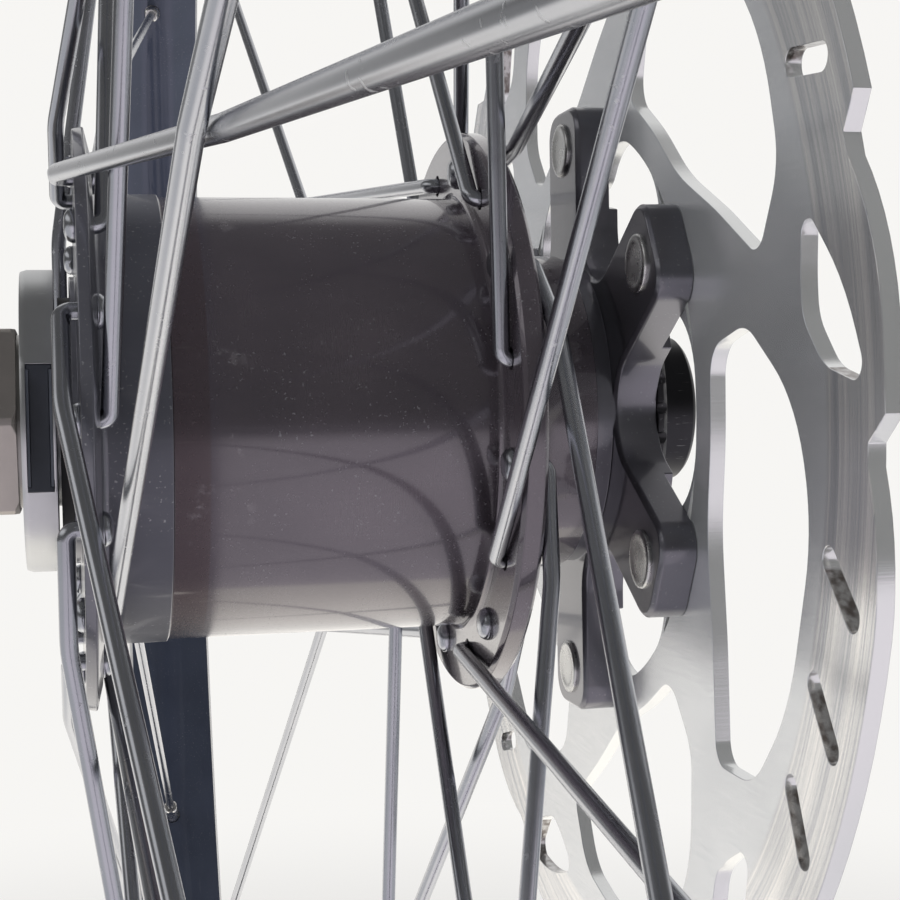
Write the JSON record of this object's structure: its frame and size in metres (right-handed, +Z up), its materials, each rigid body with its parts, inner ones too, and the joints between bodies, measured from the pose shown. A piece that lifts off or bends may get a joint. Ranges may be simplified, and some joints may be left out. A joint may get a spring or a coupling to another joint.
{
  "type": "dynamo front wheel",
  "caption": "Spoked bicycle front wheel with a hub dynamo, a thru axle bore and a centre mounted disc brake rotor, without a tyre.",
  "frame": {"origin": "centre of the axle's bore, in the rim's middle plane", "axes": "+Y along the axle towards the brake rotor, -Y towards the electrical terminals, +Z up"},
  "size_m": [0.6335, 0.1, 0.6336],
  "materials": {
    "axle_aluminium": "turned",
    "stator_steel": "pressed",
    "bobbin_plastic": "moulded",
    "copper_wire": "enamelled",
    "lead_insulation": "smooth",
    "cap_aluminium": "dull, turned",
    "terminal_plastic": "moulded",
    "contact_metal": "plated",
    "washer_steel": "plated",
    "nut_metal": "brown grey, anodised",
    "bearing_steel": "ground",
    "seal_rubber": "moulded",
    "shell_black": "glossy black anodised",
    "flange_black": "glossy black anodised",
    "magnet_ferrite": "sintered",
    "yoke_steel": "drawn",
    "carrier_black": "satin black anodised",
    "rotor_steel": "ground",
    "rivet_steel": "polished",
    "lockring_black": "black anodised",
    "rim_black": "blue black anodised",
    "tape_blue": "woven",
    "spoke_black": "gloss black",
    "nipple_silver": "nickel plated"
  },
  "bodies": {
    "axle_assembly": {"axle_tube": "axle_aluminium", "spacer_connector_side": "axle_aluminium", "spacer_disc_side": "axle_aluminium", "claw_pole_disc_side": "stator_steel", "claw_pole_connector_side": "stator_steel", "coil_bobbin": "bobbin_plastic", "coil_winding": "copper_wire", "coil_leads": "lead_insulation", "connector_side_cap": "cap_aluminium", "terminal_block": "terminal_plastic", "terminal_contacts": "contact_metal", "tab_washer": "washer_steel", "lock_nut": "nut_metal", "connector_side_sleeve": "axle_aluminium", "disc_side_end_cap": "axle_aluminium", "bearing_inner_ring_connector_side": "bearing_steel", "bearing_inner_ring_disc_side": "bearing_steel"},
    "wheel": {"bearing_outer_ring_connector_side": "bearing_steel", "bearing_outer_ring_disc_side": "bearing_steel", "bearing_seals_connector_side": "seal_rubber", "bearing_seals_disc_side": "seal_rubber", "hub_shell": "shell_black", "connector_side_flange": "flange_black", "magnet_yoke": "yoke_steel", "magnets": "magnet_ferrite", "connector_side_dust_seal": "seal_rubber", "disc_side_dust_seal": "seal_rubber", "rotor_carrier": "carrier_black", "brake_rotor": "rotor_steel", "rotor_rivets": "rivet_steel", "rotor_lockring": "lockring_black", "rim": "rim_black", "rim_tape": "tape_blue", "spokes_connector_side_inner": "spoke_black", "spokes_connector_side_outer": "spoke_black", "spokes_disc_side_inner": "spoke_black", "spokes_disc_side_outer": "spoke_black", "nipples_connector_side": "nipple_silver", "nipples_disc_side": "nipple_silver"},
    "ball_set_connector_side": {"bearing_balls_connector_side": "bearing_steel", "bearing_cage_connector_side": "bobbin_plastic"},
    "ball_set_disc_side": {"bearing_balls_disc_side": "bearing_steel", "bearing_cage_disc_side": "bobbin_plastic"}
  },
  "joints": [
    {"name": "wheel_spin", "type": "hinge", "parent": "axle_assembly", "child": "wheel", "pos_m": [0, 0, 0], "axis": [0, 1, 0], "continuous": true},
    {"name": "balls_roll_connector_side", "type": "hinge", "parent": "axle_assembly", "child": "ball_set_connector_side", "pos_m": [0, -0.0238, 0], "axis": [0, 1, 0], "continuous": true},
    {"name": "balls_roll_disc_side", "type": "hinge", "parent": "axle_assembly", "child": "ball_set_disc_side", "pos_m": [0, 0.0305, 0], "axis": [0, 1, 0], "continuous": true}
  ],
  "couplings": [
    {"joint": "balls_roll_connector_side", "follows": "wheel_spin", "ratio": 0.58411},
    {"joint": "balls_roll_disc_side", "follows": "wheel_spin", "ratio": 0.58411}
  ]
}
